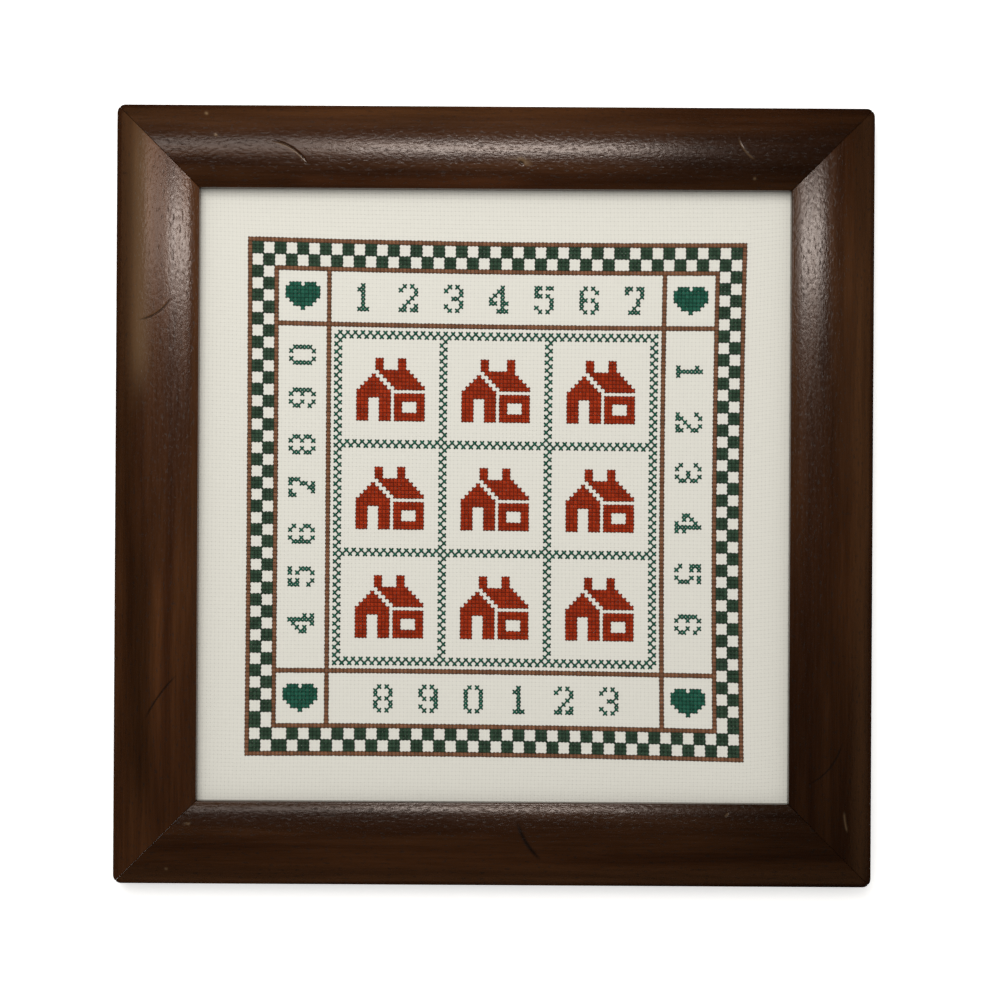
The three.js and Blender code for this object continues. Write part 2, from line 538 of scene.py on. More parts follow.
def shaded(tree, colour, *shades):
    """A colour made darker or lighter by several shares."""
    shade = shades[0]
    for another in shades[1:]:
        shade = maths(tree, "MULTIPLY", shade, another)
    grey = new_node(tree, "ShaderNodeCombineColor", {0: shade, 1: shade, 2: shade}).outputs[0]
    return mix_colours(tree, 1.0, colour, grey, "MULTIPLY")


def ramp(tree, value, from_low, from_high, to_low=0.0, to_high=1.0):
    """Spreads a value from one range to another and keeps it inside."""
    inputs = {"From Min": from_low, "From Max": from_high, "To Min": to_low, "To Max": to_high}
    inputs["Value"] = value
    return new_node(tree, "ShaderNodeMapRange", inputs, interpolation_type="SMOOTHSTEP").outputs[0]


def mix_colours(tree, share, first, second, blend_type="MIX"):
    """The first colour with a share of the second laid over it."""
    inputs = {0: share, 6: first, 7: second}
    node = new_node(tree, "ShaderNodeMix", inputs, data_type="RGBA", blend_type=blend_type)
    return node.outputs[2]


def noise(tree, place, grain):
    """Soft noise with a grain's own repeats."""
    inputs = {"Vector": place, "Scale": grain.repeats, "Location": grain.place}
    stretched = new_node(tree, "ShaderNodeMapping", inputs).outputs["Vector"]
    inputs = {
        "Vector": stretched,
        "Scale": 1.0,
        "Detail": grain.detail,
        "Roughness": grain.roughness,
        "Distortion": grain.distortion,
    }
    return new_node(tree, "ShaderNodeTexNoise", inputs).outputs["Fac"]


def start_material(name):
    """A new material with one shader, and its tree."""
    material = bpy.data.materials.new(name)
    material.use_nodes = True
    tree = material.node_tree
    return material, tree, tree.nodes["Principled BSDF"]


def bumped(tree, *layers):
    """A normal from heights of 0 to 1, each with how deep it goes and how much of that shows."""
    normal = None
    for height, (distance, strength) in layers:
        inputs = {"Height": height, "Distance": distance, "Strength": strength}
        if normal is not None:
            inputs["Normal"] = normal
        normal = new_node(tree, "ShaderNodeBump", inputs).outputs["Normal"]
    return normal


def named_value(tree, name):
    """A number that each point of the mesh carries."""
    return new_node(tree, "ShaderNodeAttribute", attribute_name=name).outputs["Fac"]


def varnished_wood(settings):
    """Walnut-stained wood under satin varnish, its grain running along each length of moulding."""
    material, tree, shader = start_material("walnut_moulding")
    along = new_node(tree, "ShaderNodeUVMap").outputs["UV"]
    fibres = noise(tree, along, WOOD_FIBRES)
    pore = ramp(tree, noise(tree, along, WOOD_PORES), *PORE_RANGE)
    streaks = ramp(tree, noise(tree, along, WOOD_STREAKS), *STREAK_RANGE)
    patch_shade = ramp(tree, noise(tree, along, WOOD_PATCHES), *PATCH_SHADES)
    fibre_shade = ramp(tree, fibres, *FIBRE_SHADES)
    pore_shade = ramp(tree, pore, *PORE_SHADES)
    light_share = maths(tree, "MULTIPLY", streaks, STREAK_SHARE)
    colour = mix_colours(tree, light_share, settings.stain, settings.stain_light)
    # The lightness each point carries: partly the wood's own tone, partly painted light and shade
    colour = shaded(tree, colour, fibre_shade, patch_shade, pore_shade, named_value(tree, "tone"))
    # Worn stain and the painted highlight beside the marks take the bare wood's colour
    colour = mix_colours(tree, named_value(tree, "worn"), colour, settings.bare_wood)
    # Darkened grooves of the marks, and painted shade along the mitres
    grime = maths(tree, "MULTIPLY", named_value(tree, "grime"), DARKENING_SHARE)
    colour = mix_colours(tree, grime, colour, DARKENING_COLOUR)

    smoothest = settings.varnish_roughness - FIBRE_ROUGHNESS / 2
    pitting = noise(tree, along, WOOD_PITTING)
    pitted = ramp(tree, pitting, *PITTING_RANGE)
    rough = maths(tree, "MULTIPLY_ADD", fibres, FIBRE_ROUGHNESS, smoothest)
    rough = maths(tree, "MULTIPLY_ADD", pore, PORE_ROUGHNESS, rough)
    rough = maths(tree, "MULTIPLY_ADD", pitted, PITTING_ROUGHNESS, rough)
    rough = maths(tree, "MULTIPLY_ADD", grime, DARKENING_ROUGHNESS, rough, clamp=True)

    waves = noise(tree, along, WOOD_WAVES)
    filled = maths(tree, "SUBTRACT", 1.0, pore)
    normal = bumped(tree, (waves, WAVE_BUMP), (pitting, PITTING_BUMP), (filled, PORE_BUMP))
    set_inputs(tree, shader, {
        "Base Color": colour,
        "Roughness": rough,
        "Normal": normal,
        "Specular IOR Level": VARNISH_SPECULAR,
    })
    return material


def woven_cotton(settings):
    """Aida: square blocks of threads that pass over and under, with a small hole at each corner."""
    material, tree, shader = start_material("aida_cloth")
    blocks = new_node(tree, "ShaderNodeUVMap").outputs["UV"]
    split = new_node(tree, "ShaderNodeSeparateXYZ", {0: blocks})
    across, down = split.outputs[0], split.outputs[1]

    def from_corner(value):
        """How far a point is from the nearest line between blocks."""
        inside = maths(tree, "FRACT", maths(tree, "ADD", value, 0.5))
        return maths(tree, "ABSOLUTE", maths(tree, "SUBTRACT", inside, 0.5))

    def ribs(value):
        """The round threads of a block."""
        wave = maths(tree, "SINE", maths(tree, "MULTIPLY", value, THREADS_A_BLOCK * math.pi))
        return maths(tree, "ABSOLUTE", wave)

    def half_blocks(value):
        """Counts half blocks."""
        return maths(tree, "FLOOR", maths(tree, "MULTIPLY", value, 2.0))

    across_gap, down_gap = from_corner(across), from_corner(down)
    corner = vector(tree, across_gap, down_gap)
    distance = new_node(tree, "ShaderNodeVectorMath", {0: corner}, operation="LENGTH")
    hole = ramp(tree, distance.outputs["Value"], *HOLE_EDGE)
    seam = ramp(tree, maths(tree, "MINIMUM", across_gap, down_gap), *SEAM_EDGE)

    halves = maths(tree, "ADD", half_blocks(across), half_blocks(down))
    over = maths(tree, "PINGPONG", halves, 1.0)
    upright = maths(tree, "MULTIPLY", ribs(across), over)
    level = maths(tree, "MULTIPLY", ribs(down), maths(tree, "SUBTRACT", 1.0, over))
    threads = maths(tree, "ADD", upright, level)

    slubs_across = noise(tree, blocks, CLOTH_SLUBS_ACROSS)
    slubs_down = noise(tree, blocks, CLOTH_SLUBS_DOWN)
    slubs = maths(tree, "MULTIPLY", maths(tree, "ADD", slubs_across, slubs_down), 0.5)
    slub_shade = ramp(tree, slubs, *SLUB_SHADES)
    # Painted shade between the threads, along the seams and in the holes
    thread_painted_shade = ramp(tree, threads, *THREAD_PAINTED_SHADES)
    seam_painted_shade = ramp(tree, seam, *SEAM_PAINTED_SHADES)
    hole_painted_shade = ramp(tree, hole, *HOLE_PAINTED_SHADES)
    unpierced = maths(tree, "SUBTRACT", 1.0, hole)
    set_inputs(tree, shader, {
        "Base Color": shaded(
            tree, settings.cotton, slub_shade, thread_painted_shade, seam_painted_shade, hole_painted_shade
        ),
        "Roughness": ramp(tree, slubs, *CLOTH_ROUGHNESS),
        "Normal": bumped(tree, (threads, THREAD_BUMP), (unpierced, HOLE_BUMP)),
        **CLOTH_FINISH,
    })
    return material


def stranded_floss(name, colour):
    """Cotton floss with a slight sheen: twisted plies with painted highlights on their crests and
    painted shade between them and at the arms' ends and sides, each cross its own shade.
    """
    material, tree, shader = start_material(name)
    strand = new_node(tree, "ShaderNodeUVMap").outputs["UV"]
    split = new_node(tree, "ShaderNodeSeparateXYZ", {0: strand})
    along, across = split.outputs[0], split.outputs[1]
    slant_along = maths(tree, "MULTIPLY", along, PLIES_ALONG)
    slant_across = maths(tree, "MULTIPLY", across, PLIES_ACROSS)
    slant = maths(tree, "ADD", slant_along, slant_across)
    twist = maths(tree, "SINE", maths(tree, "MULTIPLY", slant, math.pi))
    plies = maths(tree, "ABSOLUTE", twist)

    cross_shade = ramp(tree, named_value(tree, "shade"), *CROSS_SHADES)
    # Painted shade between the plies, lighter on their crests
    ply_painted_shade = ramp(tree, plies, *PLY_PAINTED_SHADES)
    fibre_shade = ramp(tree, noise(tree, strand, FLOSS_FIBRES), *FLOSS_SHADES)
    # Painted shade at the arms' ends and sides
    end_painted_shade = ramp(tree, maths(tree, "ABSOLUTE", along), *END_PAINTED_SHADES)
    side_painted_shade = ramp(tree, maths(tree, "ABSOLUTE", across), *SIDE_PAINTED_SHADES)
    set_inputs(tree, shader, {
        "Base Color": shaded(
            tree, colour, cross_shade, ply_painted_shade, fibre_shade, end_painted_shade, side_painted_shade
        ),
        "Normal": bumped(tree, (plies, PLY_BUMP)),
        **FLOSS_FINISH,
    })
    return material


def pressed_board():
    """Plain pressed board: short fibres, flecks and a faint mottle."""
    material, tree, shader = start_material("backing_board")
    place = new_node(tree, "ShaderNodeTexCoord").outputs["Object"]
    fibres = noise(tree, place, BOARD_FIBRES)
    mottle = ramp(tree, noise(tree, place, BOARD_MOTTLE), *MOTTLE_SHARES)
    flecks = ramp(tree, noise(tree, place, BOARD_FLECKS), *FLECK_SHARES)
    colour = mix_colours(tree, ramp(tree, fibres, *BOARD_FIBRE_RANGE), BOARD_DARK, BOARD_LIGHT)
    colour = mix_colours(tree, mottle, colour, MOTTLE_COLOUR)
    colour = mix_colours(tree, flecks, colour, FLECK_COLOUR)
    set_inputs(tree, shader, {
        "Base Color": colour,
        "Roughness": ramp(tree, fibres, *BOARD_ROUGHNESS),
        "Normal": bumped(tree, (fibres, BOARD_BUMP)),
    })
    return material


def chart_place(column, row):
    """Where a point of the chart lies on the cloth, whose off-true pulls fade to its cut edge."""
    side = (np.asarray(column, float) - CHART / 2) / (CHART / 2)
    rise = (CHART / 2 - np.asarray(row, float)) / (CHART / 2)
    side_end = CLOTH_HALF_WIDTH / CHART_HALF_WIDTH
    rise_end = CLOTH_HALF_HEIGHT / CHART_HALF_HEIGHT
    hold = np.clip((side_end - abs(side)) / (side_end - 1), 0, 1)
    hold = hold * np.clip((rise_end - abs(rise)) / (rise_end - 1), 0, 1)
    bow_across = (1 - rise**2) * (RIGHT_BOW * (1 + side) + LEFT_BOW * (1 - side)) / 2
    bow_up = (1 - side**2) * (TOP_BOW * (1 + rise) + BOTTOM_BOW * (1 - rise)) / 2
    slack = MIDDLE_SLACK * rise * (1 - rise**2)
    x = CHART_HALF_WIDTH * side + hold * (CHART_SHIFT[0] + CHART_LEAN * rise + bow_across)
    y = CHART_HALF_HEIGHT * rise + hold * (CHART_SHIFT[1] + CHART_SLOPE * side + bow_up + slack)
    return x, y


def square_outline(inset):
    """One line of stitches round the chart, a number of stitches in from its edge."""
    last = CHART - 1 - inset
    side = range(inset, last + 1)
    level = {(column, row) for column in side for row in (inset, last)}
    upright = {(column, row) for column in (inset, last) for row in side}
    return level | upright


def line_stitches():
    """The outlines and the lines that part the corners from the rows of numerals."""
    last = CHART - 1
    span = range(INNER_LINE, CHART - INNER_LINE)
    dividing = {(column, row) for column in span for row in (DIVIDING_LINE, last - DIVIDING_LINE)}
    dividing |= {(row, column) for column, row in dividing}
    return square_outline(0) | square_outline(INNER_LINE) | dividing


def on_side(side, along, inwards):
    """A stitch of a border, from its place along one side and inwards from the chart's edge."""
    last = CHART - 1
    places = {
        "top": (along, inwards),
        "bottom": (along, last - inwards),
        "left": (inwards, along),
        "right": (last - inwards, along),
    }
    return places[side]


def check_stitches():
    """The border of checks. Each side has one check that is a stitch wider, to fill it."""
    stitches = set()
    for side, wide_check in WIDE_CHECKS.items():
        start = 1
        for check in range(CHECKS_A_SIDE):
            end = start + CHECK + (check == wide_check)
            first = 1 + CHECK * (check % CHECK_ROWS)
            for along in range(start, end):
                for inwards in range(first, first + CHECK):
                    stitches.add(on_side(side, along, inwards))
            start = end
    return stitches


def lattice_stitches():
    """Every second stitch of the double rows round the cells."""
    starts = [LATTICE_START + CELL_PITCH * number for number in range(CELLS + 1)]
    rows = {start + offset for start in starts for offset in range(LATTICE_WIDTH)}
    span = range(starts[0], starts[-1] + LATTICE_WIDTH)
    inside = {(column, row) for column in span for row in span if column in rows or row in rows}
    return {(column, row) for column, row in inside if (column + row) % 2}


def stamp(pattern, column, row):
    """The stitches of a small pattern whose top left corner is at a place on the chart."""
    return {
        (column + across, row + down)
        for down, line in enumerate(pattern)
        for across, mark in enumerate(line)
        if mark == "#"
    }


def heart_stitches():
    """A heart in each corner square."""
    near_column, near_row = HEART_PLACE
    far_column = CHART - near_column - len(HEART[0])
    far_row = CHART - near_row - len(HEART)
    stitches = set()
    for column in (near_column, far_column):
        for row in (near_row, far_row):
            stitches |= stamp(HEART, column, row)
    return stitches


def numeral_stitches():
    """The rows of numerals: level above and below, and turned to read round the two sides."""
    stitches = set()
    for side, digits, start, pitch in NUMERAL_ROWS:
        for number, digit in enumerate(digits):
            place = int(start + pitch * number)
            for across, down in stamp(NUMERALS[digit], 0, 0):
                if side in ("top", "bottom"):
                    row = NUMERALS_NEAR if side == "top" else NUMERALS_FAR
                    stitches.add((place + across, row + down))
                elif side == "left":
                    stitches.add((NUMERALS_NEAR + down, place + NUMERAL_WIDTH - 1 - across))
                else:
                    stitches.add((NUMERALS_FAR + NUMERAL_HEIGHT - 1 - down, place + across))
    return stitches


def block_of_stitches(first_column, end_column, first_row, end_row):
    """A filled rectangle of stitches."""
    rows = range(first_row, end_row)
    return {(column, row) for column in range(first_column, end_column) for row in rows}


def house(chimneys):
    """One house: its chimneys, a slanted roof, a gable wall with its door, and a side wall."""
    stitches = set()
    for first, end in chimneys:
        stitches |= block_of_stitches(first, end, 0, CHIMNEY_ROWS)
    for row in range(CHIMNEY_ROWS, ROOF_EAVES):
        left = row + CHIMNEY_ROWS
        stitches |= block_of_stitches(left, left + ROOF_WIDTH, row, row + 1)
    peak_column, peak_row = GABLE_PEAK
    for spread in range(ROOF_EAVES - peak_row + 1):
        row = peak_row + spread
        stitches |= block_of_stitches(peak_column - spread, peak_column + spread + 1, row, row + 1)
    wall_top = ROOF_EAVES + 1
    stitches |= block_of_stitches(0, 2 * peak_column + 1, wall_top, WALL_FOOT)
    stitches |= block_of_stitches(*SIDE_WALL, wall_top, WALL_FOOT)
    return stitches - block_of_stitches(*DOOR) - block_of_stitches(*WINDOW)


def house_stitches():
    """A house in each cell of the lattice. One has its second chimney a stitch further right."""
    stitches = set()
    for cell_column in range(CELLS):
        for cell_row in range(CELLS):
            one = house(ODD_CHIMNEYS if (cell_column, cell_row) == ODD_CELL else CHIMNEYS)
            left = LATTICE_START + LATTICE_WIDTH + CELL_PITCH * cell_column + HOUSE_PLACE[0]
            top = LATTICE_START + LATTICE_WIDTH + CELL_PITCH * cell_row + HOUSE_PLACE[1]
            stitches |= {(left + column, top + row) for column, row in one}
    return stitches


def mesh_object(name, vertices, faces):
    """A linked object with a new mesh at the origin."""
    mesh = bpy.data.meshes.new(name)
    mesh.from_pydata(vertices, [], faces)
    made = bpy.data.objects.new(name, mesh)
    bpy.context.scene.collection.objects.link(made)
    return made


def face_outwards(mesh):
    """Turns the faces of a closed mesh outwards."""
    shell = bmesh.new()
    shell.from_mesh(mesh)
    bmesh.ops.recalc_face_normals(shell, faces=shell.faces)
    shell.to_mesh(mesh)
    shell.free()


def set_point_values(mesh, name, values):
    """Gives each point of a mesh a number that its material reads."""
    attribute = mesh.attributes.new(name, "FLOAT", "POINT")
    attribute.data.foreach_set("value", np.asarray(values, np.float32))


def set_uv(mesh, places):
    """Gives a mesh its UV map from one place for each point."""
    layer = mesh.uv_layers.new(name="UVMap")
    corners = np.empty(len(mesh.loops), np.int32)
    mesh.loops.foreach_get("vertex_index", corners)
    layer.data.foreach_set("uv", np.asarray(places, np.float32)[corners].ravel())


def arc_points(centre, radii, from_angle, to_angle):
    """Part of an ellipse as points about a section step apart."""
    span = abs(to_angle - from_angle) * max(radii)
    angles = np.linspace(from_angle, to_angle, max(4, round(span / SECTION_STEP)))
    turned = np.column_stack((np.cos(angles), np.sin(angles)))
    return np.array(centre) + turned * radii


def arch(share):
    """How high a shallow arch stands at a share of its length: 0 at its ends and 1 halfway."""
    return 4 * share * (1 - share)


def bulging_points(start, end, bulge):
    """A stretch of the section that bulges outwards, as points about a section step apart."""
    start, end = np.array(start), np.array(end)
    step = end - start
    length = np.linalg.norm(step)
    outward = np.array((-step[1], step[0])) / length
    share = np.linspace(0, 1, max(2, round(length / SECTION_STEP)))[:, None]
    return start + step * share + outward * bulge * arch(share)


def moulding_section():
    """The moulding's section, its points close together where it shows."""
    up = math.pi / 2
    band_start = MOULDING_WIDTH - BAND_WIDTH
    rabbet_start = MOULDING_WIDTH - RABBET_WIDTH
    shoulder_radii = (CROWN_FROM_EDGE, FRAME_DEPTH - SIDE_HEIGHT)
    shoulder = arc_points((CROWN_FROM_EDGE, SIDE_HEIGHT), shoulder_radii, math.pi, up)
    dome_end = math.acos((band_start - CROWN_FROM_EDGE) / DOME_RADIUS)
    dome_centre = (CROWN_FROM_EDGE, FRAME_DEPTH - DOME_RADIUS)
    dome = arc_points(dome_centre, (DOME_RADIUS, DOME_RADIUS), up, dome_end)
    band_end = dome[-1][1] - BAND_FALL
    band = bulging_points(dome[-1], (MOULDING_WIDTH - LIP_EASE, band_end), BAND_BULGE)
    lip_centre = (MOULDING_WIDTH - LIP_EASE, band_end - LIP_EASE)
    lip = arc_points(lip_centre, (LIP_EASE, LIP_EASE), up, 0)
    rabbet = ((MOULDING_WIDTH, RABBET_DEPTH), (rabbet_start, RABBET_DEPTH), (rabbet_start, 0))
    back = (BACK_EASE, 0)
    return np.vstack(((0, BACK_EASE), shoulder, dome[1:], band[1:], lip[1:], rabbet, back))


def section_normals(section):
    """The way out of the section at each of its points."""
    before, after = np.roll(section, 1, axis=0), np.roll(section, -1, axis=0)
    tangent = after - before
    normal = np.column_stack((-tangent[:, 1], tangent[:, 0]))
    return normal / np.linalg.norm(normal, axis=1)[:, None]


def mark_line(mark):
    """The points of a mark's curve, along and inwards, bowed to one side."""
    start, end = np.array(mark.start) * MM, np.array(mark.end) * MM
    share = np.linspace(0, 1, MARK_POINTS)[:, None]
    across = np.array((start[1] - end[1], end[0] - start[0]))
    across = across / np.linalg.norm(across)
    return start + (end - start) * share + across * mark.bow * MM * arch(share)


def signed_distance(points, line):
    """How far points are from a line of points, on which side of it, and how far along it."""
    nearest = np.full(len(points), np.inf)
    sides = np.ones(len(points))
    along = np.zeros(len(points))
    for number, (start, end) in enumerate(zip(line[:-1], line[1:])):
        step = end - start
        share = np.clip((points - start) @ step / (step @ step), 0, 1)
        offset = points - start - share[:, None] * step
        distance = np.linalg.norm(offset, axis=1)
        closer = distance < nearest
        nearest[closer] = distance[closer]
        sides[closer] = np.sign(step[0] * offset[closer, 1] - step[1] * offset[closer, 0])
        along[closer] = (number + share[closer]) / (len(line) - 1)
    return nearest, sides, along


def ring_starts(length, marks):
    """Where rings of points stand along a length of moulding: close only near its marks."""
    coarse = np.linspace(0, length, round(length / RING_STEP) + 1)[1:-1]
    fine = np.arange(MARK_STEP, length, MARK_STEP)
    wanted = np.zeros(len(fine), bool)
    for mark in marks:
        for point in mark_line(mark):
            place = ring_place(fine, point[1], length)
            wanted |= abs(place - point[0]) < MARK_MARGIN
    return np.unique(np.concatenate((coarse, fine[wanted])))


def ring_place(start, inward, length):
    """How far along the moulding a ring's point lies: rings lean with the mitre near an end."""
    lean_first = np.clip(1 - start / LEAN_LENGTH, 0, 1)
    lean_last = np.clip(1 - (length - start) / LEAN_LENGTH, 0, 1)
    return start - length / 2 + inward * (lean_first - lean_last)


def corner_rings(section, normals, length):
    """The rings next to the first end: its eased mitre, then the round of the frame's corner."""
    rings = []
    turns = np.linspace(math.pi / 4, math.pi / 2, CORNER_STEPS)
    outer_share = np.clip(1 - section[:, 0] / CORNER_RADIUS, 0, None)
    set_back = MITRE_GAP * math.sqrt(0.5)
    for number, turn in enumerate(turns):
        cut_back = CORNER_RADIUS * (1 - math.sin(turn))
        away = CORNER_RADIUS * (math.sin(turn) - math.cos(turn)) + set_back
        inward = section[:, 0] + cut_back * outer_share
        up = section[:, 1]
        if number == 0:
            inward_low = inward - normals[:, 0] * MITRE_EASE
            up_low = up - normals[:, 1] * MITRE_EASE
            rings.append(np.column_stack((away + inward_low - length / 2, inward_low, up_low)))
            away += MITRE_EASE
        rings.append(np.column_stack((away + inward - length / 2, inward, up)))
    return rings


def moulding_points(section, normals, length, marks):
    """The rings of points of one length of moulding, as along, inwards and up."""
    first = corner_rings(section, normals, length)
    last = [ring * (-1, 1, 1) for ring in reversed(first)]
    middle = []
    for start in ring_starts(length, marks):
        if FIRST_RING < start < length - FIRST_RING:
            place = ring_place(start, section[:, 0], length)
            middle.append(np.column_stack((place, section)))
    return np.array(first + middle + last)


def knock_wear_and_paint_light(points, normals, marks, strength):
    """Presses the marks into the moulding, and says where each point is lighter (worn stain and painted
    highlight) or darker (the marks' grooves, and painted shade at the mitres).
    """
    count = len(points)
    plan = points[:, :, :2].reshape(-1, 2)
    worn = np.zeros(len(plan))
    grime = np.zeros(len(plan))
    press = np.zeros(len(plan))
    shows = np.tile(normals[:, 1] > LEAST_UPWARD_NORMAL, count)
    for mark in marks:
        line = mark_line(mark)
        distance, side, along = signed_distance(plan, line)
        half_width = mark.half_width * MM
        is_long = math.dist(mark.start, mark.end) * MM > LONG_MARK * half_width
        fading = np.clip(MARK_END_FADE * along * (1 - along), 0, 1) if is_long else 1
        groove = np.exp(-((distance / half_width) ** 2)) * shows * fading
        # The lighter strip to one side of a mark: partly worn stain, partly a painted highlight on its
        # lit edge
        offset = mark.worn_offset * half_width * LIGHTER_OFFSET
        from_lighter = (distance * side - offset) / half_width / LIGHTER_WIDTH
        beside = np.exp(-(from_lighter**2)) * shows * fading**2
        near = distance < half_width * MARK_REACH
        press += groove * mark.depth * MM * strength
        grime = np.maximum(grime, groove * mark.grime)
        worn = np.maximum(worn, beside * near * mark.worn)
    press = press.reshape(count, -1)
    points[:, :, 1] -= press * normals[:, 0]
    points[:, :, 2] -= press * normals[:, 1]
    # The end rings at the mitres are painted darker: painted shade in the joints
    grime.reshape(count, -1)[[0, -1]] = MITRE_SHADE
    return worn, grime


def stained(rail_name, along, inward):
    """How light the wood is painted, partly its own tone and partly painted light and shade, and how
    far its stain has worn, at each point of a moulding.
    """
    rail = RAILS[rail_name]
    lengthways = (-rail.length / 2, 0, rail.length / 2)
    outer_tone_and_light = np.interp(along, lengthways, rail.outer_tones)
    inner_tone_and_light = np.interp(along, lengthways, rail.inner_tones)
    inner_share = (inward / MOULDING_WIDTH - OUTER_TONE_AND_LIGHT_TO) / (INNER_TONE_AND_LIGHT_FROM - OUTER_TONE_AND_LIGHT_TO)
    tone = outer_tone_and_light + (inner_tone_and_light - outer_tone_and_light) * np.clip(inner_share, 0, 1)
    bare = np.zeros(len(along))
    for streak in STREAKS:
        if streak.rail == rail_name:
            half_width = streak.half_width * MM
            beside = (inward - streak.inward * MM) / half_width
            beyond = np.maximum(streak.first * MM - along, along - streak.last * MM)
            beyond = np.maximum(beyond, 0) / (half_width * STREAK_FADE)
            share = np.exp(-(beside**2) - beyond**2)
            tone *= 1 + (streak.gain - 1) * share
            bare += streak.bare * share
    return tone, bare


def make_rail(rail_name, material, strength):
    """One length of moulding, mitred at both ends, with its marks."""
    rail = RAILS[rail_name]
    section = moulding_section()
    normals = section_normals(section)
    marks = [mark for mark in MARKS if mark.rail == rail_name]
    points = moulding_points(section, normals, rail.length, marks)
    worn, grime = knock_wear_and_paint_light(points, normals, marks, strength)
    rings, around = points.shape[:2]
    along, inward = points[:, :, 0].ravel(), points[:, :, 1].ravel()
    x = rail.middle[0] + rail.along[0] * along + rail.inward[0] * inward
    y = rail.middle[1] + rail.along[1] * along + rail.inward[1] * inward
    vertices = np.column_stack((x, y, points[:, :, 2].ravel())).tolist()
    faces = [
        (
            ring * around + point,
            ring * around + (point + 1) % around,
            (ring + 1) * around + (point + 1) % around,
            (ring + 1) * around + point,
        )
        for ring in range(rings - 1)
        for point in range(around)
    ]
    faces.append(tuple(range(around)))
    faces.append(tuple(range((rings - 1) * around, rings * around)))
    made = mesh_object(rail_name + "_moulding", vertices, faces)
    steps = np.linalg.norm(np.diff(section, axis=0), axis=1)
    girth = np.concatenate(([0], np.cumsum(steps)))
    board = list(RAILS).index(rail_name) * BOARD_LENGTH
    set_uv(made.data, np.column_stack((along + board, np.tile(girth, rings) + board)))
    # Lightness partly of the wood's own tone and partly painted light and shade
    tone, bare = stained(rail_name, along, inward)
    set_point_values(made.data, "worn", np.maximum(worn, bare))
    set_point_values(made.data, "grime", grime)
    set_point_values(made.data, "tone", tone)
    face_outwards(made.data)
    made.data.shade_smooth()
    made.data.set_sharp_from_angle(angle=MOULDING_SHARP_ANGLE)
    made.data.materials.append(material)
    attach(made, "root")
    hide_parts(rail_name)


def cloth_lines(half_size, chart_half):
    """The lines between blocks across the whole cloth, its cut edges included, in stitches."""
    reach = half_size / chart_half * CHART / 2
    first, last = CHART / 2 - reach, CHART / 2 + reach
    whole = np.arange(math.ceil(first + NARROWEST_BLOCK), last - NARROWEST_BLOCK)
    return np.concatenate(([first], whole, [last]))


def make_cloth(settings, material):
    """The stretched aida, raised in the middle of each block and low at its corner holes."""
    columns = cloth_lines(CLOTH_HALF_WIDTH, CHART_HALF_WIDTH)
    rows = cloth_lines(CLOTH_HALF_HEIGHT, CHART_HALF_HEIGHT)
    corner_columns, corner_rows = np.meshgrid(columns, rows)
    middle_columns = (corner_columns[:-1, :-1] + corner_columns[1:, 1:]) / 2
    middle_rows = (corner_rows[:-1, :-1] + corner_rows[1:, 1:]) / 2
    corner_x, corner_y = chart_place(corner_columns, corner_rows)
    middle_x, middle_y = chart_place(middle_columns, middle_rows)
    top, low = CLOTH_HIGH.z, CLOTH_HIGH.z - settings.relief
    corners = np.column_stack((corner_x.ravel(), corner_y.ravel(), np.full(corner_x.size, low)))
    middles = np.column_stack((middle_x.ravel(), middle_y.ravel(), np.full(middle_x.size, top)))

    across, down = len(columns), len(rows)
    number = np.arange(across * down).reshape(down, across)
    middle = corner_x.size + np.arange(middle_x.size).reshape(down - 1, across - 1)
    north_west, north_east = number[:-1, :-1], number[:-1, 1:]
    south_west, south_east = number[1:, :-1], number[1:, 1:]
    faces = []
    for first, second in (
        (north_west, north_east),
        (north_east, south_east),
        (south_east, south_west),
        (south_west, north_west),
    ):
        faces += np.column_stack((second.ravel(), first.ravel(), middle.ravel())).tolist()

    rim = np.concatenate((number[0, :], number[1:, -1], number[-1, -2::-1], number[-2:0:-1, 0]))
    under = len(corners) + len(middles) + np.arange(len(rim))
    under_points = corners[rim] * (1, 1, 0) + (0, 0, CLOTH_LOW.z)
    faces += np.column_stack((rim, np.roll(rim, -1), np.roll(under, -1), under)).tolist()
    faces.append(under.tolist())
    vertices = np.vstack((corners, middles, under_points)).tolist()

    made = mesh_object("aida_cloth", vertices, faces)
    corner_blocks = np.column_stack((corner_columns.ravel(), corner_rows.ravel()))
    middle_blocks = np.column_stack((middle_columns.ravel(), middle_rows.ravel()))
    set_uv(made.data, np.vstack((corner_blocks, middle_blocks, corner_blocks[rim])))
    face_outwards(made.data)
    made.data.shade_smooth()
    made.data.set_sharp_from_angle(angle=CLOTH_SHARP_ANGLE)
    made.data.materials.append(material)
    return made


def arm_points(crests, direction, half_width):
    """The rings of one arm of a cross, from one corner of its block to the other."""
    across = Vector((-direction.y, direction.x, 0))
    rings = []
    for station, crest in zip(ARM_STATIONS, crests):
        narrowing = (1 - ARM_END_NARROWING) * abs(station) ** ARM_END_SHARPNESS
        width = half_width * (1 - narrowing)
        middle = direction * ARM_HALF_LENGTH * station
        ring = []
        for side, share in STRAND_PROFILE:
            height = ARM_SOLE + (crest - ARM_SOLE) * share
            ring.append(middle + across * width * side + Vector((0, 0, height)))
        rings.append(ring)
    return rings


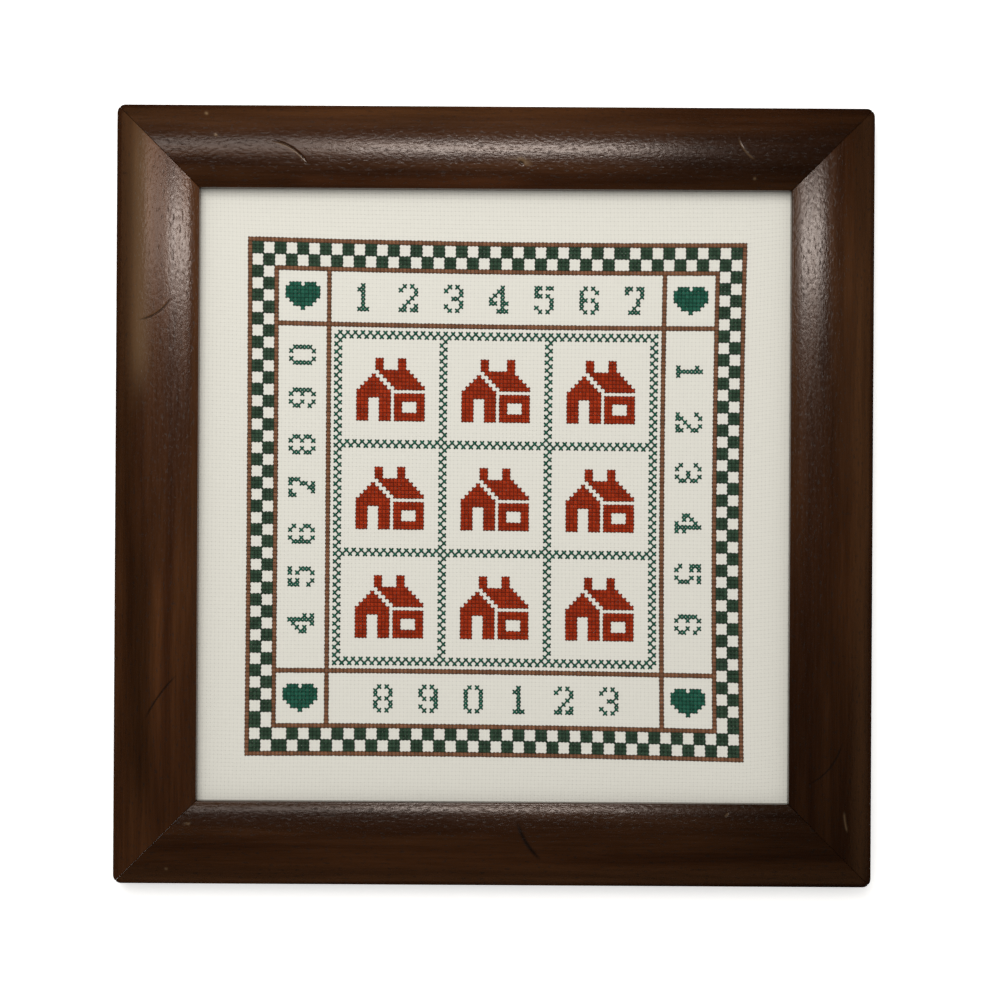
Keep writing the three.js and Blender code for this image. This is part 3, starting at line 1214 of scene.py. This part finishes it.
def make_cross(name, half_width):
    """A cross that its stitches repeat, on a block of unit size: an arm over an arm."""
    vertices, faces, places = [], [], []
    around = len(STRAND_PROFILE)
    arms = (
        (UNDER_ARM_CRESTS, Vector((1, 1, 0)).normalized()),
        (OVER_ARM_CRESTS, Vector((1, -1, 0)).normalized()),
    )
    for crests, direction in arms:
        base = len(vertices)
        for number, ring in enumerate(arm_points(crests, direction, half_width)):
            vertices += ring
            places += [(ARM_STATIONS[number], side) for side, _ in STRAND_PROFILE]
        rings = len(ARM_STATIONS)
        for ring in range(rings - 1):
            first, second = base + ring * around, base + (ring + 1) * around
            for point in range(around):
                following = (point + 1) % around
                near, far = (first + point, first + following), (second + following, second + point)
                faces.append(near + far)
        faces.append(tuple(base + point for point in range(around)))
        faces.append(tuple(base + (rings - 1) * around + point for point in range(around)))
    cross = mesh_object(name, vertices, faces)
    set_uv(cross.data, places)
    face_outwards(cross.data)
    cross.data.shade_smooth()
    return cross


def stitch_tree():
    """Geometry nodes that put an uneven cross on every point of a mesh."""
    tree = bpy.data.node_groups.new("Cross stitches", "GeometryNodeTree")
    tree.interface.new_socket("Geometry", in_out="INPUT", socket_type="NodeSocketGeometry")
    for name, kind in (
        ("Cross", "NodeSocketObject"),
        ("Width", "NodeSocketFloat"),
        ("Length", "NodeSocketFloat"),
        ("Height", "NodeSocketFloat"),
        ("Unevenness", "NodeSocketFloat"),
        ("Turn", "NodeSocketFloat"),
        ("Seed", "NodeSocketInt"),
        ("Floss", "NodeSocketMaterial"),
    ):
        tree.interface.new_socket(name, in_out="INPUT", socket_type=kind)
    tree.interface.new_socket("Geometry", in_out="OUTPUT", socket_type="NodeSocketGeometry")
    given = tree.nodes.new("NodeGroupInput").outputs

    least = maths(tree, "SUBTRACT", 1.0, given["Unevenness"])
    most = maths(tree, "ADD", 1.0, given["Unevenness"])
    low, high = vector(tree, least, least, least), vector(tree, most, most, most)
    inputs = {0: low, 1: high, "Seed": given["Seed"]}
    uneven = new_node(tree, "FunctionNodeRandomValue", inputs, data_type="FLOAT_VECTOR")
    size = vector(tree, given["Width"], given["Length"], given["Height"])
    inputs = {0: size, 1: uneven.outputs[0]}
    scale = new_node(tree, "ShaderNodeVectorMath", inputs, operation="MULTIPLY")

    inputs = {
        2: maths(tree, "MULTIPLY", given["Turn"], -1.0),
        3: given["Turn"],
        "Seed": maths(tree, "ADD", given["Seed"], 1.0),
    }
    turned = new_node(tree, "FunctionNodeRandomValue", inputs, data_type="FLOAT")
    angles = vector(tree, z=turned.outputs[1])
    rotation = new_node(tree, "FunctionNodeEulerToRotation", {0: angles}).outputs[0]

    cross = new_node(tree, "GeometryNodeObjectInfo", {"Object": given["Cross"]})
    crosses = new_node(tree, "GeometryNodeInstanceOnPoints", {
        "Points": given["Geometry"],
        "Instance": cross.outputs["Geometry"],
        "Rotation": rotation,
        "Scale": scale.outputs[0],
    })
    inputs = {"Seed": maths(tree, "ADD", given["Seed"], 2.0)}
    shade = new_node(tree, "FunctionNodeRandomValue", inputs, data_type="FLOAT")
    tinted = new_node(tree, "GeometryNodeStoreNamedAttribute", {
        "Geometry": crosses.outputs[0],
        "Name": "shade",
        "Value": shade.outputs[1],
    }, data_type="FLOAT", domain="INSTANCE")
    real = new_node(tree, "GeometryNodeRealizeInstances", {"Geometry": tinted.outputs[0]})
    finished = new_node(tree, "GeometryNodeSetMaterial", {
        "Geometry": real.outputs[0],
        "Material": given["Floss"],
    })
    new_node(tree, "NodeGroupOutput", {"Geometry": finished.outputs[0]})
    return tree


def sew(name, stitches, tree, cross, settings, material):
    """Makes all the crosses of one group as a plain mesh on the cloth."""
    order = np.array(sorted(stitches), float) + 0.5
    x, y = chart_place(order[:, 0], order[:, 1])
    height = np.full(len(order), CLOTH_HIGH.z)
    places = mesh_object(name + "_places", np.column_stack((x, y, height)).tolist(), [])
    values = {
        "Cross": cross,
        "Width": 2 * CHART_HALF_WIDTH / CHART,
        "Length": 2 * CHART_HALF_HEIGHT / CHART,
        "Height": settings.height,
        "Unevenness": settings.unevenness,
        "Turn": settings.turn,
        "Seed": settings.seed,
        "Floss": material,
    }
    modifier = places.modifiers.new("Crosses", "NODES")
    modifier.node_group = tree
    for item in tree.interface.items_tree:
        if item.in_out == "INPUT" and item.name in values:
            modifier[item.identifier] = values[item.name]
    evaluated = places.evaluated_get(bpy.context.evaluated_depsgraph_get())
    mesh = bpy.data.meshes.new_from_object(evaluated)
    made = bpy.data.objects.new(name, mesh)
    bpy.context.scene.collection.objects.link(made)
    bpy.data.objects.remove(places)
    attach(made, "root")
    return made


def add_light(light, power):
    """A flat soft light that faces a point, and either lights the object or is mirrored in it."""
    lamp = bpy.data.lights.new(light.name, "AREA")
    lamp.shape = "RECTANGLE"
    lamp.size, lamp.size_y = light.size
    lamp.energy = power
    lamp.color = light.colour
    made = bpy.data.objects.new(light.name, lamp)
    made.location = light.place
    towards = Vector(light.aim) - Vector(light.place)
    made.rotation_euler = towards.to_track_quat("-Z", "Y").to_euler()
    made.visible_camera = False
    made.visible_diffuse = not light.only_mirrored
    made.visible_glossy = light.only_mirrored
    bpy.context.scene.collection.objects.link(made)


class SAMPLER_OT_stage(Operator):
    """Make the floor, the lights and the camera"""

    bl_idname = "sampler.stage"
    bl_label = "Stage"

    def execute(self, context):
        settings = context.scene.sampler_stage
        floor = mesh_object("floor", FLOOR_CORNERS, [(0, 1, 2, 3)])
        material, tree, shader = start_material("pale_floor")
        set_inputs(tree, shader, {**FLOOR_FINISH, "Emission Strength": settings.floor_glow})
        floor.data.materials.append(material)
        floor.visible_glossy = False

        world = bpy.data.worlds.new("fill")
        context.scene.world = world
        world.use_nodes = True
        background = world.node_tree.nodes["Background"]
        set_inputs(world.node_tree, background, {"Color": FILL_COLOUR, "Strength": settings.fill})
        world.cycles_visibility.glossy = False
        for light in LIGHTS:
            add_light(light, getattr(settings, light.setting) * light.share)

        lens = bpy.data.cameras.new("camera")
        lens.lens = FOCAL_LENGTH
        lens.sensor_width = SENSOR_WIDTH
        camera = bpy.data.objects.new("camera", lens)
        camera.location = (*CAMERA_SIDE, CAMERA_HEIGHT)
        camera.rotation_euler = (0, 0, CAMERA_ROLL)
        context.scene.collection.objects.link(camera)
        context.scene.camera = camera
        context.scene.view_settings.view_transform = "Standard"
        return {"FINISHED"}


class SAMPLER_OT_moulding(Operator):
    """Make the four mitred lengths of stained and varnished moulding"""

    bl_idname = "sampler.moulding"
    bl_label = "Moulding"

    def execute(self, context):
        settings = context.scene.sampler_frame
        material = varnished_wood(settings)
        for rail_name in RAILS:
            make_rail(rail_name, material, settings.mark_strength)
        return {"FINISHED"}


class SAMPLER_OT_cloth(Operator):
    """Make the stretched aida cloth"""

    bl_idname = "sampler.cloth"
    bl_label = "Cloth"

    def execute(self, context):
        settings = context.scene.sampler_cloth
        cloth = make_cloth(settings, woven_cotton(settings))
        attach(cloth, "root")
        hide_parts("cloth")
        return {"FINISHED"}


class SAMPLER_OT_stitches(Operator):
    """Sew the crosses of every part of the chart"""

    bl_idname = "sampler.stitches"
    bl_label = "Cross stitches"

    def execute(self, context):
        settings = context.scene.sampler_floss
        rust = stranded_floss("rust_floss", settings.rust)
        green = stranded_floss("green_floss", settings.green)
        check_green = stranded_floss("green_floss_of_checks", settings.check_green)
        brick = stranded_floss("brick_floss", settings.brick)
        full = make_cross("full_cross", FULL_HALF_WIDTH)
        slim = make_cross("slim_cross", SLIM_HALF_WIDTH)
        tree = stitch_tree()
        for name, stitches, cross, floss, slot in (
            ("outline_stitches", line_stitches(), full, rust, "rust_floss"),
            ("check_stitches", check_stitches(), full, check_green, "green_floss"),
            ("heart_stitches", heart_stitches(), full, green, "green_floss"),
            ("numeral_stitches", numeral_stitches(), slim, green, "green_floss"),
            ("lattice_stitches", lattice_stitches(), slim, green, "green_floss"),
            ("house_stitches", house_stitches(), full, brick, "brick_floss"),
        ):
            sew(name, stitches, tree, cross, settings, floss)
        bpy.data.objects.remove(full)
        bpy.data.objects.remove(slim)
        return {"FINISHED"}


class SAMPLER_OT_board(Operator):
    """Give the backing board its finish"""

    bl_idname = "sampler.board"
    bl_label = "Backing board"

    def execute(self, context):
        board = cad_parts["backing_board"]
        board.data.materials.clear()
        board.data.materials.append(pressed_board())
        return {"FINISHED"}


class SAMPLER_PT_panel(Panel):
    """Lists the sampler's pieces and settings"""

    bl_idname = "SAMPLER_PT_panel"
    bl_label = "Cross Stitch Sampler"
    bl_space_type = "VIEW_3D"
    bl_region_type = "UI"
    bl_category = "Sampler"

    def draw(self, context):
        for group_name, operator in GROUPS:
            box = self.layout.box()
            settings = getattr(context.scene, group_name)
            for name in settings.bl_rna.properties.keys():
                if name not in ("rna_type", "name"):
                    box.prop(settings, name)
            box.operator(operator.bl_idname)
        self.layout.operator(SAMPLER_OT_board.bl_idname)


GROUPS = (
    ("sampler_stage", SAMPLER_OT_stage),
    ("sampler_frame", SAMPLER_OT_moulding),
    ("sampler_cloth", SAMPLER_OT_cloth),
    ("sampler_floss", SAMPLER_OT_stitches),
)
CLASSES = (
    SamplerStageSettings,
    SamplerFrameSettings,
    SamplerClothSettings,
    SamplerFlossSettings,
    SAMPLER_OT_stage,
    SAMPLER_OT_moulding,
    SAMPLER_OT_cloth,
    SAMPLER_OT_stitches,
    SAMPLER_OT_board,
    SAMPLER_PT_panel,
)


def register():
    for cls in CLASSES:
        bpy.utils.register_class(cls)
    bpy.types.Scene.sampler_stage = PointerProperty(type=SamplerStageSettings)
    bpy.types.Scene.sampler_frame = PointerProperty(type=SamplerFrameSettings)
    bpy.types.Scene.sampler_cloth = PointerProperty(type=SamplerClothSettings)
    bpy.types.Scene.sampler_floss = PointerProperty(type=SamplerFlossSettings)


def unregister():
    for name, _ in GROUPS:
        delattr(bpy.types.Scene, name)
    for cls in reversed(CLASSES):
        bpy.utils.unregister_class(cls)


def main():
    """Makes the whole sampler."""
    register()
    bpy.ops.sampler.stage()
    bpy.ops.sampler.moulding()
    bpy.ops.sampler.cloth()
    bpy.ops.sampler.stitches()
    bpy.ops.sampler.board()


if __name__ == "__main__":
    main()
